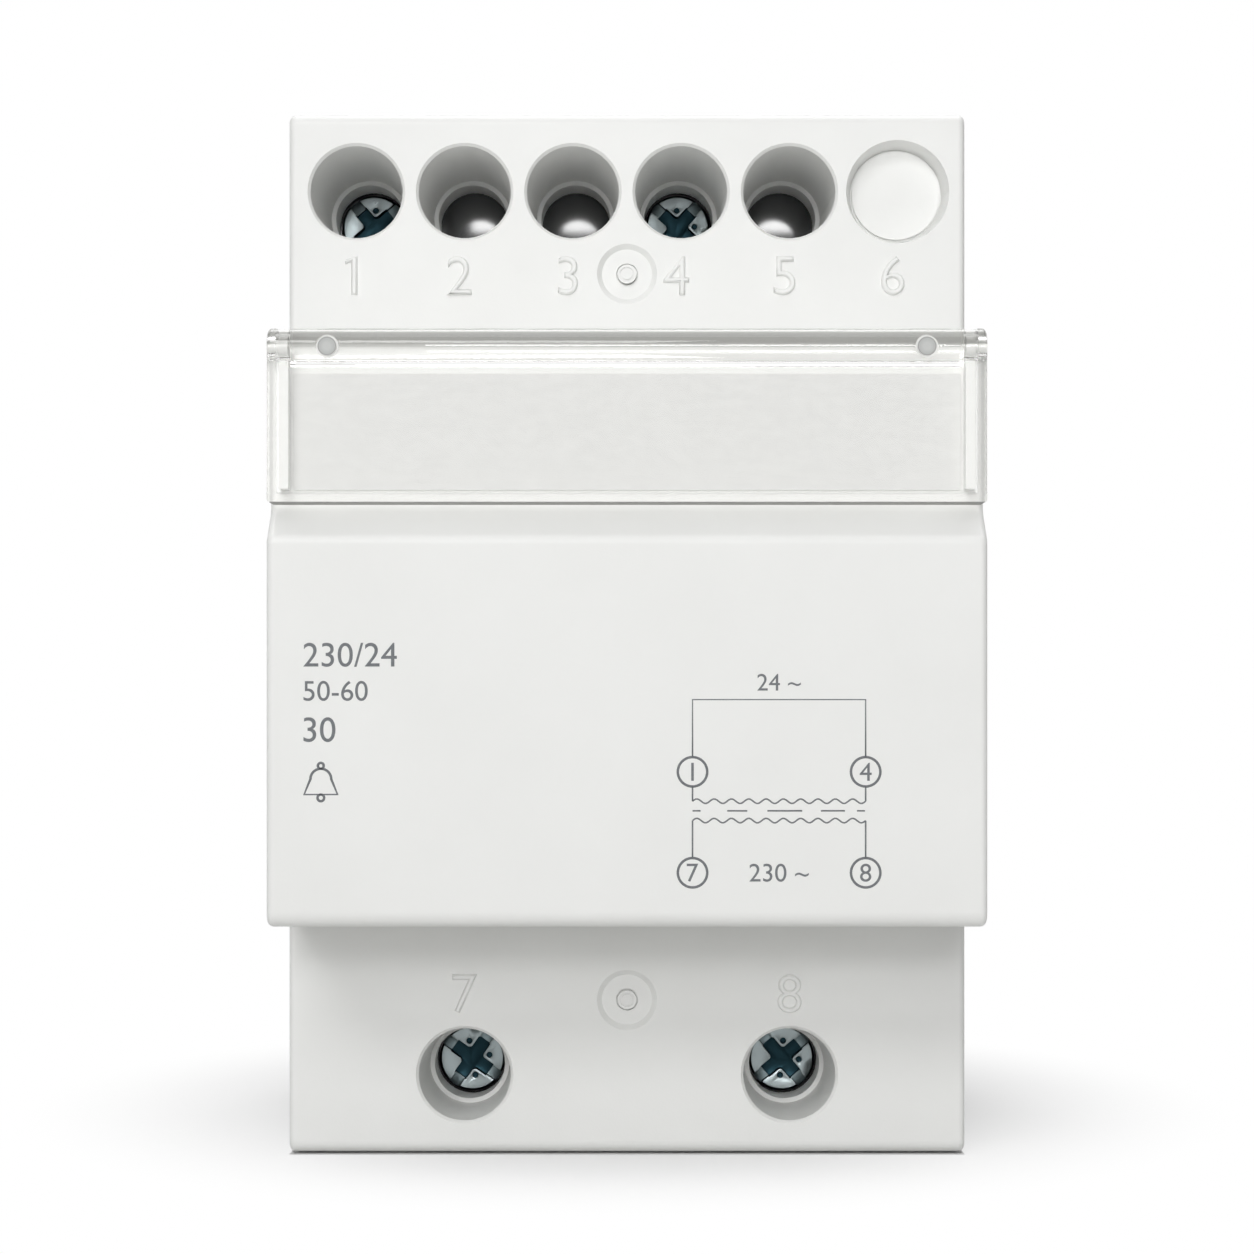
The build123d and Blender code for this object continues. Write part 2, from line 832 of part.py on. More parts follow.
def build_tongue(terminal):
    """Fixed contact tongue through the cage, with a hole for the lead in its tail."""
    row = terminal.row
    outer_z = bore_z + cage_length / 2
    with BuildPart() as tongue:
        with BuildSketch(facing(tongue_back(row))):
            with Locations((terminal.x, row.end * (outer_z + tongue_end_z) / 2)):
                Rectangle(tongue_width, outer_z - tongue_end_z)
            with Locations((terminal.x, row.end * tongue_hole_z)):
                Circle(tongue_hole_radius, mode=Mode.SUBTRACT)
        extrude(amount=tongue_thickness)
    return tongue


def build_lead(terminal):
    """Insulated lead from the hole in a tongue, back past the core and on to a corner of the bobbin."""
    row = terminal.row
    tongue_front = tongue_back(row) + tongue_thickness
    landing_x = copysign(flange_half - lead_inset, terminal.x)
    points = [
        (terminal.x, -tongue_front, row.end * tongue_hole_z),
        (terminal.x, -lead_front, row.end * tongue_hole_z),
        (landing_x, -lead_front, row.end * (window_top + lead_landing)),
        (landing_x, -lead_front, row.end * window_top),
    ]
    with BuildPart() as lead:
        with BuildLine() as route:
            FilletPolyline(*points, radius=lead_bend)
        with BuildSketch(facing(tongue_front)):
            with Locations((terminal.x, row.end * tongue_hole_z)):
                Circle(lead_radius)
        sweep(path=route.wires()[0])
    return lead


block_end = chamber_half + block_wall
upper_terminal_block = build_terminal_block(
    upper_row, open_x, fit_gap - inner_half, open_x[-1] + block_end
)
lower_terminal_block = build_terminal_block(
    lower_row, lower_x, lower_x[0] - block_end, lower_x[1] + block_end
)

# Laminated core: E stack with its yoke below, I stack above
bolt_z = (core_height - side_leg) / 2
with BuildPart() as core_e_stack:
    with BuildSketch(facing(core_back)):
        with Locations((0, -side_leg / 2)):
            Rectangle(core_width, core_height - side_leg)
        with Locations(*[(side * (centre_leg + core_window) / 2, 0) for side in (-1, 1)]):
            Rectangle(core_window, 2 * window_top, mode=Mode.SUBTRACT)
        with Locations((-leg_x, -bolt_z), (leg_x, -bolt_z)):
            Circle(core_bolt_radius, mode=Mode.SUBTRACT)
    extrude(amount=core_stack)

with BuildPart() as core_i_stack:
    with BuildSketch(facing(core_back)):
        with Locations((0, bolt_z)):
            Rectangle(core_width, side_leg)
        with Locations((-leg_x, bolt_z), (leg_x, bolt_z)):
            Circle(core_bolt_radius, mode=Mode.SUBTRACT)
    extrude(amount=core_stack)

# Bobbin on the centre leg, with one chamber for each winding
sleeve_width = centre_leg + 2 * bobbin_gap
sleeve_depth = core_stack + 2 * bobbin_gap
tube_width = sleeve_width + 2 * bobbin_wall
tube_depth = sleeve_depth + 2 * bobbin_wall
flange_depth = core_stack + 2 * bobbin_bulge
flange_levels = (-window_top, -bobbin_wall / 2, window_top - bobbin_wall)
with BuildPart() as bobbin:
    with BuildSketch(Plane.XY.offset(-window_top)):
        with Locations((0, -core_mid)):
            Rectangle(tube_width, tube_depth)
    extrude(amount=2 * window_top)
    for level in flange_levels:
        with BuildSketch(Plane.XY.offset(level)):
            with Locations((0, -core_mid)):
                RectangleRounded(2 * flange_half, flange_depth, winding_corner)
        extrude(amount=bobbin_wall)
    with BuildSketch(Plane.XY.offset(-window_top)):
        with Locations((0, -core_mid)):
            Rectangle(sleeve_width, sleeve_depth)
    extrude(amount=2 * window_top, mode=Mode.SUBTRACT)

wound_width = 2 * (flange_half - winding_margin)
wound_depth = flange_depth - 2 * winding_margin


def build_ring(z_low, z_high, inner_width, inner_depth, inner_corner, thickness_x, thickness_y):
    """Rounded rectangular ring around the bobbin, from its inner size and its thickness each way."""
    outer_width = inner_width + 2 * thickness_x
    outer_depth = inner_depth + 2 * thickness_y
    with BuildPart() as ring:
        with BuildSketch(Plane.XY.offset(z_low)):
            with Locations((0, -core_mid)):
                RectangleRounded(outer_width, outer_depth, winding_corner)
                RectangleRounded(inner_width, inner_depth, inner_corner, mode=Mode.SUBTRACT)
        extrude(amount=z_high - z_low)
    return ring


def build_winding(z_low, z_high):
    inner_width = tube_width + 2 * winding_gap
    inner_depth = tube_depth + 2 * winding_gap
    thickness_x = (wound_width - inner_width) / 2
    thickness_y = (wound_depth - inner_depth) / 2
    low = z_low + winding_gap
    high = z_high - winding_gap
    return build_ring(low, high, inner_width, inner_depth, winding_gap, thickness_x, thickness_y)


def build_tape(z_low, z_high):
    low = z_low + tape_margin
    high = z_high - tape_margin
    inner_corner = winding_corner - tape_thickness
    return build_ring(low, high, wound_width, wound_depth, inner_corner, tape_thickness, tape_thickness)


lower_chamber = (flange_levels[0] + bobbin_wall, flange_levels[1])
upper_chamber = (flange_levels[1] + bobbin_wall, flange_levels[2])
primary_winding = build_winding(*lower_chamber)
secondary_winding = build_winding(*upper_chamber)
primary_tape = build_tape(*lower_chamber)
secondary_tape = build_tape(*upper_chamber)

# Thermal cut-out that lies on the primary winding
with BuildPart() as thermal_cutout:
    with BuildSketch(facing(core_mid + wound_depth / 2 + tape_thickness)):
        with Locations((0, sum(lower_chamber) / 2)):
            RectangleRounded(cutout_width, cutout_height, cutout_edge)
    extrude(amount=cutout_thickness)
    fillet(thermal_cutout.faces().sort_by(Axis.Y)[0].edges(), cutout_edge)

pieces = {
    "front_cover": front_cover,
    "rear_base": rear_base,
    "rail_clip": rail_clip,
    "label_window": label_window,
    "label_strip": label_strip,
    "upper_terminal_block": upper_terminal_block,
    "lower_terminal_block": lower_terminal_block,
    "core_e_stack": core_e_stack,
    "core_i_stack": core_i_stack,
    "bobbin": bobbin,
    "primary_winding": primary_winding,
    "secondary_winding": secondary_winding,
    "primary_tape": primary_tape,
    "secondary_tape": secondary_tape,
    "thermal_cutout": thermal_cutout,
}
for number, terminal in terminals.items():
    pieces[f"terminal_screw_{number}"] = build_screw(terminal)
    pieces[f"clamp_cage_{number}"] = build_cage(terminal)
    pieces[f"contact_tongue_{number}"] = build_tongue(terminal)
    pieces[f"lead_{number}"] = build_lead(terminal)

os.makedirs("parts", exist_ok=True)
for name, piece in pieces.items():
    piece.part.label = name
    export_step(piece.part, f"parts/{name}.step")
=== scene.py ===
"""Looks of the three-module rail transformer: finishes, raised numbers, screws, print and studio.

Metres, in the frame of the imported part: x to the right, z up, y towards the wall, front at low y.
"""

import json
import math

import bmesh
import bpy
from mathutils import Matrix, Vector

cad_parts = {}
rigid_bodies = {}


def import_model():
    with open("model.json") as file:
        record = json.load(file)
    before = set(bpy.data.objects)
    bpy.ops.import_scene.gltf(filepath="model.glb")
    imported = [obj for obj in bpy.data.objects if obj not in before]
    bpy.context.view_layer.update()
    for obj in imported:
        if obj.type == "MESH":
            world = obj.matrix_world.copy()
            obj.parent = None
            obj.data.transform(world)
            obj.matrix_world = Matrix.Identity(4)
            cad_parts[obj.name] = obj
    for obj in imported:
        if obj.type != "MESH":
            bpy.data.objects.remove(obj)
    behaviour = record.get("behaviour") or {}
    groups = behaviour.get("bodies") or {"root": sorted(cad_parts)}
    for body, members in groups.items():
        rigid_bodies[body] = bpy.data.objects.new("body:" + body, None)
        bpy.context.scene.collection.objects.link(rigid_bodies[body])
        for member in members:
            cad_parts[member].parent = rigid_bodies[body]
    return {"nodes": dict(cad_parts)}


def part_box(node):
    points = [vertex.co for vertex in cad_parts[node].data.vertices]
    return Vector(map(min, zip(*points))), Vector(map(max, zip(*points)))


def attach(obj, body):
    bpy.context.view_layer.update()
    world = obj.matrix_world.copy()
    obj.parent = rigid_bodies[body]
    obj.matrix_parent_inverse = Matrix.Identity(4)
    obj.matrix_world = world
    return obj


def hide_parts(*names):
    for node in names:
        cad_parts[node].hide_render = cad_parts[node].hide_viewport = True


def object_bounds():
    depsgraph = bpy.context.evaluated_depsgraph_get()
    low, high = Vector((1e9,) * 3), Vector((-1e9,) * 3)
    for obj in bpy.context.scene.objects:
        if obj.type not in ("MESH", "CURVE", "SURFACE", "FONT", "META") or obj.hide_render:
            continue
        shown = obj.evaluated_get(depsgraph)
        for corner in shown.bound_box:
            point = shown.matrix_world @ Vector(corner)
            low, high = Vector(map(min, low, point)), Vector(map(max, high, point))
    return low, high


for leftover in list(bpy.data.objects):
    bpy.data.objects.remove(leftover)
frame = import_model()
cad_low, cad_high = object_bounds()
nodes = frame["nodes"]
scene = bpy.context.scene
MM = 0.001

# The photograph's frame and the camera that took it
photo_pixels = 1254
focal_pixels = 3142
vanishing_x = 627
vanishing_y = 727
camera_front = 0.295
camera_z = -0.0075
camera_near = 0.01
sensor_width = 36.0

# Rows of terminals with a screw
screw_rows = {"upper": (1, 4), "lower": (7, 8)}

# Places on the part, from its nodes
nose_face = cad_low.y
shelf_step = 16 * MM
shelf_face = nose_face + shelf_step
first_bore = sum(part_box("terminal_screw_1"), Vector()) / 2
fourth_bore = sum(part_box("terminal_screw_4"), Vector()) / 2
bore_pitch = (fourth_bore.x - first_bore.x) / 3
lower_bores = [(sum(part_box(f"terminal_screw_{n}"), Vector()) / 2).x for n in screw_rows["lower"]]
upper_places = 6

# Soft dome of the carriers' glossy fronts
dish_radius = 42 * MM
dish_rise = 0.25 * MM

# Clear window: its lower edge, painted dark grey as shade, as a share of its height, the frosted
# pads on its barrel, and the mirrorings inside it after which light gets out
underside_share = 0.004
pad_spacing = 44.9 * MM
pad_depth = 1.5 * MM
pad_radius = 0.86 * MM
pad_front = 0.5 * MM
most_mirrorings = 2.5

# Raised numbers
number_height = 3.05 * MM
number_relief = 0.4 * MM
number_bevel = 0.14 * MM
number_steepness = 2.5
number_outset = 0.02 * MM
number_shift = -0.4 * MM
upper_number_z = 28.55 * MM
lower_number_z = -28.8 * MM

# Screws
head_height = 2.0 * MM
head_cut = 0.01 * MM
head_overlap = 0.2 * MM
recess_bevel = 0.06 * MM
flat_angle = math.radians(1)
edge_angle = math.radians(50)
smooth_angle = math.radians(35)
thread_pitch = 0.6 * MM
thread_crest = 1.75 * MM
thread_root = 1.4 * MM
thread_steps = 32
crest_start, crest_end = 0.45, 0.55

# Vertices nearer than these are merged: in outlines, in the screws' heads and in their threads
outline_merge = 0.0005 * MM
head_merge = 0.001 * MM
thread_merge = 0.005 * MM

# Scale at which the wave texture has one stripe to the metre
stripe_scale = math.pi / 10

# Print on the nose
ink_width = 0.12 * MM
bold_ink_width = 1.6 * ink_width
ink_relief = 0.01 * MM

# Floor: a little lower than the part for a crisp contact shadow. Outside an oval it fades to white,
# but not under or behind the part
floor_size = 2.0
floor_gap = 0.16 * MM
fade_start = 16 * MM
fade_end = 72 * MM
fade_stretch = (1.3, 1, 0)
fade_shift = (0, 5 * MM, 0)

# Room: light from below and above, and how bright its front and back look in gloss and glass
light_below, light_above = 0.06, 0.1
room_front, room_back = -0.1, 0.6
room_dim, room_bright = 0.55, 1.0

# Lamps: place, size, watts, and whether gloss and metal mirror them
lamps = {
    "overhead_softbox": ((0.0, -0.15, 0.95), (0.7, 0.7), 2.5, True),
    "rim_softbox": ((0.0, 0.36, 0.88), (0.7, 0.35), 2.8, True),
    "key_softbox": ((-0.22, -0.8, 0.53), (0.5, 0.22), 2.6, True),
    "low_softbox": ((-0.12, -0.9, 0.2), (0.6, 0.34), 1.9, False),
    "strip_light": ((0.03, -0.9, 0.195), (0.2, 0.1), 0.8, True),
}


# Shader nodes

def new_finish(name, values):
    """A material, its node tree and its main shader with constants on the shader's own sockets."""
    finish = bpy.data.materials.new(name)
    finish.use_nodes = True
    shader = finish.node_tree.nodes["Principled BSDF"]
    for socket, value in values.items():
        shader.inputs[socket].default_value = value
    return finish, finish.node_tree, shader


def place_vector(tree, stretch=(1, 1, 1), shift=(0, 0, 0)):
    """Object coordinates, stretched along each axis and shifted."""
    coordinates = tree.nodes.new("ShaderNodeTexCoord")
    mapping = tree.nodes.new("ShaderNodeMapping")
    mapping.inputs["Scale"].default_value = stretch
    mapping.inputs["Location"].default_value = shift
    tree.links.new(coordinates.outputs["Object"], mapping.inputs["Vector"])
    return mapping.outputs["Vector"]


def axes_of(tree, vector):
    """The X, Y and Z of a vector."""
    split = tree.nodes.new("ShaderNodeSeparateXYZ")
    tree.links.new(vector, split.inputs["Vector"])
    return split.outputs


def noise(tree, scale, detail=3.0, stretch=(1, 1, 1)):
    """Cloudy noise, with scale spots to the metre."""
    texture = tree.nodes.new("ShaderNodeTexNoise")
    texture.inputs["Scale"].default_value = scale
    texture.inputs["Detail"].default_value = detail
    tree.links.new(place_vector(tree, stretch), texture.inputs["Vector"])
    return texture.outputs["Fac"]


def bands(tree, axis, pitch, distortion):
    """Stripes across one axis, one for each pitch."""
    texture = tree.nodes.new("ShaderNodeTexWave")
    texture.bands_direction = axis
    texture.inputs["Scale"].default_value = stripe_scale / pitch
    texture.inputs["Distortion"].default_value = distortion
    tree.links.new(place_vector(tree), texture.inputs["Vector"])
    return texture.outputs["Fac"]


def maths(tree, operation, *values):
    """A maths node on links and plain numbers."""
    node = tree.nodes.new("ShaderNodeMath")
    node.operation = operation
    for socket, value in zip(node.inputs, values):
        if isinstance(value, float):
            socket.default_value = value
        else:
            tree.links.new(value, socket)
    return node.outputs["Value"]


def sum_of_squares(tree, first, second):
    """The squares of two links, added."""
    squares = [maths(tree, "POWER", link, 2.0) for link in (first, second)]
    return maths(tree, "ADD", *squares)


def ranged(tree, value, start, end, low=0.0, high=1.0, kind="LINEAR"):
    """A value carried over from one range to another, and held at its ends."""
    node = tree.nodes.new("ShaderNodeMapRange")
    node.interpolation_type = kind
    node.inputs["From Min"].default_value = start
    node.inputs["From Max"].default_value = end
    node.inputs["To Min"].default_value = low
    node.inputs["To Max"].default_value = high
    tree.links.new(value, node.inputs["Value"])
    return node.outputs["Result"]


def ramp_of(tree, factor, *stops):
    """Colours by a factor, from (position, colour) stops."""
    ramp = tree.nodes.new("ShaderNodeValToRGB")
    elements = ramp.color_ramp.elements
    while len(elements) < len(stops):
        elements.new(0.5)
    for element, (position, colour) in zip(elements, stops):
        element.position = position
        element.color = (*colour, 1)
    tree.links.new(factor, ramp.inputs["Fac"])
    return ramp.outputs["Color"]


def blend(tree, factor, first, second):
    """A mix of two shaders by a link."""
    mix = tree.nodes.new("ShaderNodeMixShader")
    tree.links.new(factor, mix.inputs["Fac"])
    tree.links.new(first, mix.inputs[1])
    tree.links.new(second, mix.inputs[2])
    return mix.outputs["Shader"]


def colour_between(tree, factor, shader, *stops):
    """Colours a shader by a factor, from (position, colour) stops."""
    tree.links.new(ramp_of(tree, factor, *stops), shader.inputs["Base Color"])


def two_tones(tree, factor, shader, low, high, spread=0.2):
    """Colours a shader between two tones, whose stops lie a spread below and above the middle."""
    colour_between(tree, factor, shader, (0.5 - spread, low), (0.5 + spread, high))


def roughness_between(tree, factor, shader, low, high):
    """Lets a shader's roughness follow a factor."""
    tree.links.new(ranged(tree, factor, 0.0, 1.0, low, high), shader.inputs["Roughness"])


def relief(tree, height, shader, strength, distance):
    """Gives a shader a fine bump."""
    bump = tree.nodes.new("ShaderNodeBump")
    bump.inputs["Strength"].default_value = strength
    bump.inputs["Distance"].default_value = distance
    tree.links.new(height, bump.inputs["Height"])
    tree.links.new(bump.outputs["Normal"], shader.inputs["Normal"])


def background_rays(tree):
    """1 for the rays that show the background: the camera's, and those in gloss and glass."""
    path = tree.nodes.new("ShaderNodeLightPath")
    seen = path.outputs["Is Camera Ray"]
    for ray in ("Is Glossy Ray", "Is Transmission Ray"):
        seen = maths(tree, "MAXIMUM", seen, path.outputs[ray])
    return seen


# Finishes

def white_moulding():
    """Warm white polycarbonate with a fine spark-eroded grain."""
    finish, tree, shader = new_finish("white_moulding_grain", {"IOR": 1.5})
    shade, light = (0.865, 0.868, 0.852), (0.89, 0.893, 0.878)
    two_tones(tree, noise(tree, scale=90, detail=4), shader, shade, light)
    roughness_between(tree, noise(tree, scale=600), shader, low=0.34, high=0.44)
    relief(tree, noise(tree, scale=5200, detail=2), shader, strength=0.25, distance=0.02 * MM)
    return finish


def clear_plastic():
    """Clear polished window with two frosted pads, a grey band of painted shade along its crown and
    a dark grey lower edge of painted shade.
    """
    values = {"Transmission Weight": 1.0, "IOR": 1.49}
    finish, tree, shader = new_finish("clear_window_with_painted_shade", values)
    roughness_between(tree, noise(tree, scale=160), shader, low=0.004, high=0.02)
    place = axes_of(tree, place_vector(tree))
    low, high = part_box("label_window")
    share = ranged(tree, place["Z"], low.z, high.z)
    # The crown's grey is painted shade, a darker band along the top of the barrel
    body, crown = (0.985, 0.985, 0.98), (0.5, 0.5, 0.49)
    # Shares of the window's height
    stops = (0.895, body), (0.905, crown), (0.965, crown), (0.975, body)
    colour_between(tree, share, shader, *stops)
    from_pad = pad_distance(tree, place, high.z)
    within = maths(tree, "LESS_THAN", from_pad, 1.0)
    in_front = maths(tree, "LESS_THAN", place["Y"], nose_face + pad_front)
    on_pad = maths(tree, "MULTIPLY", within, in_front)
    solid = blend(tree, on_pad, shader.outputs["BSDF"], frosted_pad(tree, from_pad))
    # Painted shade: the lower edge shows dark grey where the shadow under the window's lip falls
    underside = maths(tree, "LESS_THAN", share, underside_share)
    solid = blend(tree, underside, solid, frosted_edge(tree))
    surface = blend(tree, lighting_rays(tree), solid, open_pane(tree, share))
    tree.links.new(surface, tree.nodes["Material Output"].inputs["Surface"])
    return finish


def pad_distance(tree, place, top):
    """Distance from the axis of the nearer pad, as a share of its radius."""
    across = maths(tree, "SUBTRACT", maths(tree, "ABSOLUTE", place["X"]), pad_spacing / 2)
    up = maths(tree, "SUBTRACT", place["Z"], top - pad_depth)
    distance = maths(tree, "SQRT", sum_of_squares(tree, across, up))
    return maths(tree, "DIVIDE", distance, pad_radius)


def frosted_pad(tree, from_pad):
    """Frosted grey face, then a dark line and a white groove around it."""
    frost_and_shade = tree.nodes.new("ShaderNodeBsdfPrincipled")
    middle, rim = (0.56, 0.57, 0.56), (0.46, 0.47, 0.46)
    line, groove = (0.22, 0.22, 0.21), (0.92, 0.92, 0.91)
    # Shares of the pad's radius
    stops = (0.3, middle), (0.72, rim), (0.78, line), (0.84, groove)
    colour_between(tree, from_pad, frost_and_shade, *stops)
    roughness_between(tree, noise(tree, scale=2400), frost_and_shade, low=0.35, high=0.5)
    return frost_and_shade.outputs["BSDF"]


def frosted_edge(tree):
    """Painted shade on the window's lower edge, which is seen from below: a matt dark grey in place
    of the shadow under the lip.
    """
    frost_and_shade = tree.nodes.new("ShaderNodeBsdfPrincipled")
    two_tones(tree, noise(tree, scale=900), frost_and_shade, (0.26, 0.26, 0.25), (0.32, 0.32, 0.31))
    roughness_between(tree, noise(tree, scale=2400), frost_and_shade, low=0.5, high=0.65)
    return frost_and_shade.outputs["BSDF"]


def lighting_rays(tree):
    """1 for the rays that light what is behind the window, and for those caught inside it."""
    path = tree.nodes.new("ShaderNodeLightPath")
    caught = maths(tree, "GREATER_THAN", path.outputs["Glossy Depth"], most_mirrorings)
    passing = maths(tree, "MAXIMUM", path.outputs["Is Shadow Ray"], path.outputs["Is Diffuse Ray"])
    return maths(tree, "MAXIMUM", passing, caught)


def open_pane(tree, share):
    """Lets light straight through, a little less of it at the window's barrel and lower edge."""
    clear = tree.nodes.new("ShaderNodeBsdfTransparent")
    edge, pane, barrel = (0.96, 0.96, 0.955), (0.98, 0.98, 0.975), (0.92, 0.92, 0.91)
    # Shares of the window's height
    stops = (0.01, edge), (0.02, pane), (0.9, pane), (0.92, barrel)
    tree.links.new(ramp_of(tree, share, *stops), clear.inputs["Color"])
    return clear.outputs["BSDF"]


def label_paper():
    """Matt off-white paper with fibres along x."""
    finish, tree, shader = new_finish("label_paper_fibres", {})
    fibres = noise(tree, scale=2600, detail=5, stretch=(0.35, 1, 1))
    two_tones(tree, fibres, shader, (0.765, 0.765, 0.755), (0.805, 0.805, 0.795), spread=0.15)
    roughness_between(tree, fibres, shader, low=0.75, high=0.9)
    relief(tree, fibres, shader, strength=0.2, distance=0.02 * MM)
    return finish


def dark_plastic(name, dish_z):
    """Glossy black carrier moulding whose front sinks in softly away from each bore axis."""
    finish, tree, shader = new_finish(name, {"IOR": 1.8})
    cloud = noise(tree, scale=260)
    two_tones(tree, cloud, shader, (0.006, 0.008, 0.009), (0.01, 0.013, 0.014))
    roughness_between(tree, cloud, shader, low=0.08, high=0.13)
    place = axes_of(tree, place_vector(tree))
    from_first = maths(tree, "SUBTRACT", place["X"], first_bore.x)
    across = maths(tree, "WRAP", from_first, bore_pitch / 2, -bore_pitch / 2)
    up = maths(tree, "SUBTRACT", place["Z"], dish_z)
    sag = maths(tree, "DIVIDE", sum_of_squares(tree, across, up), -2 * dish_radius)
    relief(tree, sag, shader, strength=1.0, distance=1.0)
    return finish


def clip_plastic():
    """Dark grey nylon with a moulded grain."""
    finish, tree, shader = new_finish("clip_nylon", {})
    two_tones(tree, noise(tree, scale=240), shader, (0.035, 0.037, 0.04), (0.05, 0.053, 0.057))
    roughness_between(tree, noise(tree, scale=900), shader, low=0.42, high=0.58)
    relief(tree, noise(tree, scale=4200, detail=2), shader, strength=0.3, distance=0.03 * MM)
    return finish


def screw_zinc(name, crown_y):
    """Blue-passivated zinc, pale on the head's face, with painted shade that turns it dark teal
    down in its recess.
    """
    finish, tree, shader = new_finish(name, {"Metallic": 1.0})
    place = axes_of(tree, place_vector(tree))
    depth = ranged(tree, place["Y"], crown_y, crown_y + head_height)
    # Coloured by depth: the recess below the face is painted shade, dark teal, and the slot floors'
    # depth keeps a paler tone nearer the zinc's own
    pale, slot = (0.36, 0.41, 0.42), (0.28, 0.35, 0.37)
    recess_shade, grey = (0.014, 0.035, 0.045), (0.3, 0.34, 0.35)
    # Shares of the head's height
    stops = (
        (0.05, pale), (0.12, recess_shade), (0.3, recess_shade), (0.34, slot), (0.36, slot), (0.4, recess_shade),
        (0.58, recess_shade), (0.75, grey),
    )
    colour_between(tree, depth, shader, *stops)
    roughness_between(tree, noise(tree, scale=1800, detail=4), shader, low=0.22, high=0.42)
    grain = noise(tree, scale=5000, detail=3, stretch=(1, 0.4, 1))
    relief(tree, grain, shader, strength=0.25, distance=0.02 * MM)
    return finish


def plated_metal(name, low, high, rough_low, rough_high):
    """Metal with cloudy plating and fine scratches along z."""
    finish, tree, shader = new_finish(name, {"Metallic": 1.0})
    two_tones(tree, noise(tree, scale=500, detail=4), shader, low, high, spread=0.15)
    streaks = noise(tree, scale=2400, detail=3, stretch=(1, 1, 0.1))
    roughness_between(tree, streaks, shader, rough_low, rough_high)
    scratches = noise(tree, scale=5200, detail=2, stretch=(1, 1, 0.06))
    relief(tree, scratches, shader, strength=0.2, distance=0.02 * MM)
    return finish


def core_steel():
    """Varnished laminations, stacked along y."""
    finish, tree, shader = new_finish("varnished_laminations", {"Metallic": 0.7})
    sheets = bands(tree, "Y", pitch=0.5 * MM, distortion=0.4)
    joint, sheet = (0.05, 0.05, 0.055), (0.2, 0.2, 0.21)
    colour_between(tree, sheets, shader, (0.1, joint), (0.6, sheet))
    roughness_between(tree, noise(tree, scale=1200), shader, low=0.35, high=0.6)
    relief(tree, sheets, shader, strength=0.6, distance=0.1 * MM)
    return finish


def copper_wire():
    """Enamelled turns, stacked along z."""
    finish, tree, shader = new_finish("enamelled_copper", {"Metallic": 0.85})
    turns = bands(tree, "Z", pitch=0.4 * MM, distortion=0.2)
    gap, wire = (0.12, 0.04, 0.015), (0.62, 0.27, 0.1)
    colour_between(tree, turns, shader, (0.05, gap), (0.6, wire))
    roughness_between(tree, turns, shader, low=0.5, high=0.25)
    relief(tree, turns, shader, strength=0.9, distance=0.15 * MM)
    return finish


def plain_plastic(name, low, high, rough_low, rough_high):
    """Smooth moulded or extruded plastic with a faint grain."""
    finish, tree, shader = new_finish(name, {})
    two_tones(tree, noise(tree, scale=300, detail=4), shader, low, high)
    roughness_between(tree, noise(tree, scale=1500), shader, rough_low, rough_high)
    relief(tree, noise(tree, scale=3500, detail=2), shader, strength=0.2, distance=0.02 * MM)
    return finish


def grey_ink():
    """Pad-printed grey ink, a little uneven."""
    finish, tree, shader = new_finish("grey_pad_ink", {})
    cloud = noise(tree, scale=3800, detail=4)
    two_tones(tree, cloud, shader, (0.14, 0.15, 0.16), (0.19, 0.2, 0.21))
    roughness_between(tree, cloud, shader, low=0.5, high=0.65)
    relief(tree, cloud, shader, strength=0.15, distance=0.01 * MM)
    return finish


def wear(node, finish):
    """Gives a node one finish all over."""
    node.data.materials.clear()
    node.data.materials.append(finish)


def finish_nodes():
    """Every carried-over node gets its finish."""
    zinc_plate = plated_metal(
        "cage_zinc_plate", (0.46, 0.41, 0.26), (0.6, 0.55, 0.36), 0.25, 0.45
    )
    brass = plated_metal("rolled_brass", (0.6, 0.42, 0.16), (0.72, 0.53, 0.22), 0.22, 0.38)
    insulation = plain_plastic(
        "lead_insulation_black", (0.02, 0.021, 0.024), (0.03, 0.031, 0.034), 0.35, 0.5
    )
    tape = plain_plastic(
        "winding_tape_yellow", (0.62, 0.4, 0.05), (0.7, 0.47, 0.08), 0.2, 0.35
    )
    nylon = plain_plastic("bobbin_nylon", (0.66, 0.62, 0.52), (0.72, 0.68, 0.58), 0.4, 0.55)
    gloss = plain_plastic("cutout_gloss", (0.6, 0.6, 0.55), (0.68, 0.68, 0.63), 0.15, 0.3)
    moulding = white_moulding()
    steel = core_steel()
    copper = copper_wire()
    finishes = {
        "front_cover": moulding,
        "rear_base": moulding,
        "rail_clip": clip_plastic(),
        "label_window": clear_plastic(),
        "label_strip": label_paper(),
        "upper_terminal_block": dark_plastic("upper_carrier_gloss", first_bore.z + dish_rise),
        "lower_terminal_block": dark_plastic("lower_carrier_gloss", -first_bore.z + dish_rise),
        "core_e_stack": steel,
        "core_i_stack": steel,
        "bobbin": nylon,
        "primary_winding": copper,
        "secondary_winding": copper,
        "primary_tape": tape,
        "secondary_tape": tape,
        "thermal_cutout": gloss,
    }
    for number in (*screw_rows["upper"], *screw_rows["lower"]):
        finishes[f"clamp_cage_{number}"] = zinc_plate
        finishes[f"contact_tongue_{number}"] = brass
        finishes[f"lead_{number}"] = insulation
    for name, finish in finishes.items():
        wear(nodes[name], finish)
    return moulding


# Meshes and pieces

